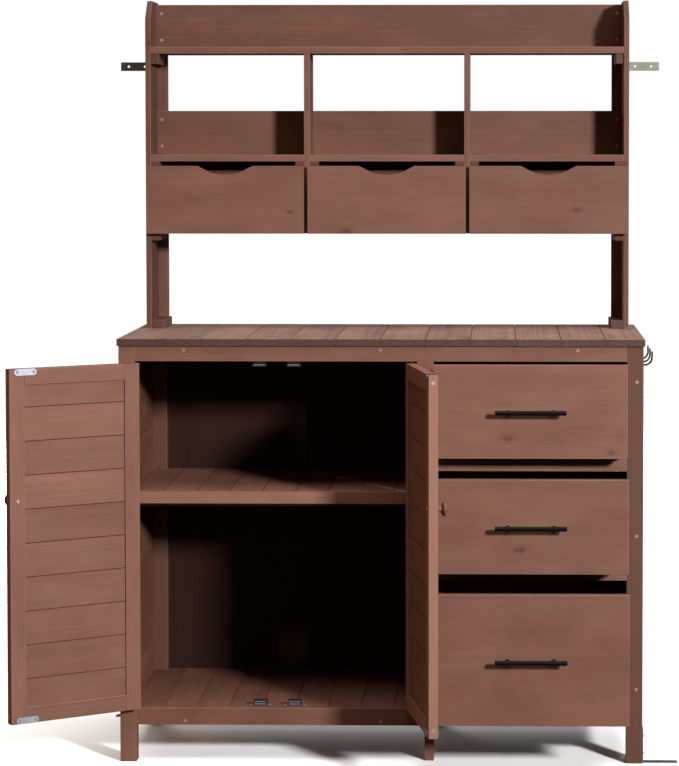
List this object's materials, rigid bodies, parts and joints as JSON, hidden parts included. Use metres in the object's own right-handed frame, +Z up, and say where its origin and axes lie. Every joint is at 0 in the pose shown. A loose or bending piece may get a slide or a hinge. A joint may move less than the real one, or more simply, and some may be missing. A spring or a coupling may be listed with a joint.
{
  "type": "potting bench",
  "caption": "Stained wooden potting bench: cabinet with two boarded doors, three deep drawers and a boarded top, under a hutch with shelves and small drawers.",
  "frame": {"origin": "on the floor, at the centre of the cabinet's footprint over its legs", "axes": "+X to the right seen from the front, +Y from the front to the back, +Z up; the doors and drawers face -Y"},
  "size_m": [1.4112, 0.7755, 1.648],
  "materials": {
    "stained_pine": "satin, reddish brown stain over visible grain and knots",
    "stained_plywood": "matte stained sheet",
    "turned_knob": "satin stained hardwood",
    "black_metal": "satin black coating",
    "yellow_zinc": "yellow passivated zinc plating",
    "steel": "zinc plated steel"
  },
  "bodies": {
    "root": {"front_left_leg": "stained_pine", "front_right_leg": "stained_pine", "rear_left_leg": "stained_pine", "rear_right_leg": "stained_pine", "front_stile": "stained_pine", "partition_posts": "stained_pine", "top_front_rail": "stained_pine", "bottom_front_rail": "stained_pine", "drawer_rails": "stained_pine", "rear_rails": "stained_pine", "side_rails": "stained_pine", "side_planks": "stained_pine", "partition_planks": "stained_pine", "inner_cleats": "stained_pine", "floor_boards": "stained_pine", "shelf_boards": "stained_pine", "shelf_front_rail": "stained_pine", "drawer_runners": "stained_pine", "table_joists": "stained_pine", "table_boards": "stained_pine", "hutch_sides": "stained_pine", "hutch_posts": "stained_pine", "hutch_back_boards": "stained_pine", "hutch_top_shelf": "stained_pine", "hutch_middle_shelf": "stained_pine", "hutch_dividers": "stained_pine", "hutch_cleats": "stained_pine", "back_panels": "stained_plywood", "wall_brackets": "yellow_zinc", "floor_brackets": "yellow_zinc", "side_hooks": "black_metal", "door_catches": "steel", "hinge_jamb_leaves": "steel", "hinge_pins": "steel", "wood_screws": "steel"},
    "left_door": {"left_door_frame": "stained_pine", "left_door_planks": "stained_pine", "left_door_knob": "turned_knob", "left_door_leaves": "steel", "left_door_fittings": "steel"},
    "right_door": {"right_door_frame": "stained_pine", "right_door_planks": "stained_pine", "right_door_knob": "turned_knob", "right_door_leaves": "steel", "right_door_fittings": "steel"},
    "drawer_1": {"drawer_1_front": "stained_pine", "drawer_1_box": "stained_pine", "drawer_1_handle": "black_metal"},
    "drawer_2": {"drawer_2_front": "stained_pine", "drawer_2_box": "stained_pine", "drawer_2_handle": "black_metal"},
    "drawer_3": {"drawer_3_front": "stained_pine", "drawer_3_box": "stained_pine", "drawer_3_handle": "black_metal"},
    "hutch_drawer_1": {"hutch_drawer_1_front": "stained_pine", "hutch_drawer_1_box": "stained_pine"},
    "hutch_drawer_2": {"hutch_drawer_2_front": "stained_pine", "hutch_drawer_2_box": "stained_pine"},
    "hutch_drawer_3": {"hutch_drawer_3_front": "stained_pine", "hutch_drawer_3_box": "stained_pine"}
  },
  "joints": [
    {"name": "left_door_hinge", "type": "hinge", "parent": "root", "child": "left_door", "pos_m": [-0.5235, -0.2385, 0.4895], "axis": [0, 0, -1], "range_deg": [-146, 34]},
    {"name": "right_door_hinge", "type": "hinge", "parent": "root", "child": "right_door", "pos_m": [0.0765, -0.2385, 0.4895], "axis": [0, 0, 1], "range_deg": [-101, 0]},
    {"name": "drawer_1_slide", "type": "slide", "parent": "root", "child": "drawer_1", "axis": [0, -1, 0], "range_m": [-0.066, 0.139]},
    {"name": "drawer_2_slide", "type": "slide", "parent": "root", "child": "drawer_2", "axis": [0, -1, 0], "range_m": [-0.133, 0.072]},
    {"name": "drawer_3_slide", "type": "slide", "parent": "root", "child": "drawer_3", "axis": [0, -1, 0], "range_m": [-0.175, 0.03]},
    {"name": "hutch_drawer_1_slide", "type": "slide", "parent": "root", "child": "hutch_drawer_1", "axis": [0, -1, 0], "range_m": [-0.01, 0.07]},
    {"name": "hutch_drawer_2_slide", "type": "slide", "parent": "root", "child": "hutch_drawer_2", "axis": [0, -1, 0], "range_m": [-0.012, 0.068]},
    {"name": "hutch_drawer_3_slide", "type": "slide", "parent": "root", "child": "hutch_drawer_3", "axis": [0, -1, 0], "range_m": [-0.009, 0.071]}
  ]
}
